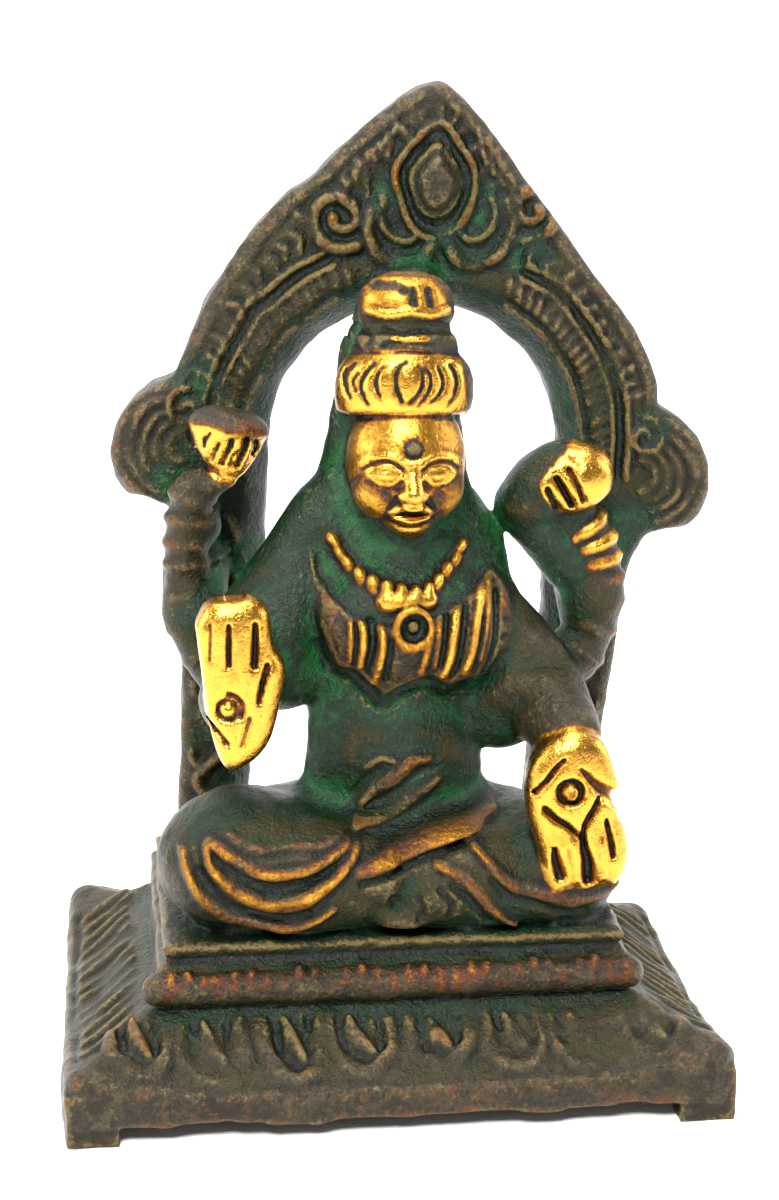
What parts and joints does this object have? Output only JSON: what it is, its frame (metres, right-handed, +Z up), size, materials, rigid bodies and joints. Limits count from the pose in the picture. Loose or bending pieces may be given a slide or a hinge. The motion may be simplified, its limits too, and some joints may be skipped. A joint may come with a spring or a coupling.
{
  "type": "seated deity figurine",
  "caption": "Small cast brass figure of a four-armed seated deity on a stepped lotus plinth in front of a pointed arch.",
  "frame": {"origin": "centre of the bounding box, on the plane under the four feet", "axes": "+Z up to the arch's point, +X to the viewer's right, the figure faces -Y"},
  "size_m": [0.0621, 0.0456, 0.09],
  "materials": {
    "brass": "cast brass with a dark brown and green patina in the hollows and polished gold high spots"
  },
  "bodies": {
    "root": {"lakshmi_casting": "brass"}
  },
  "joints": []
}
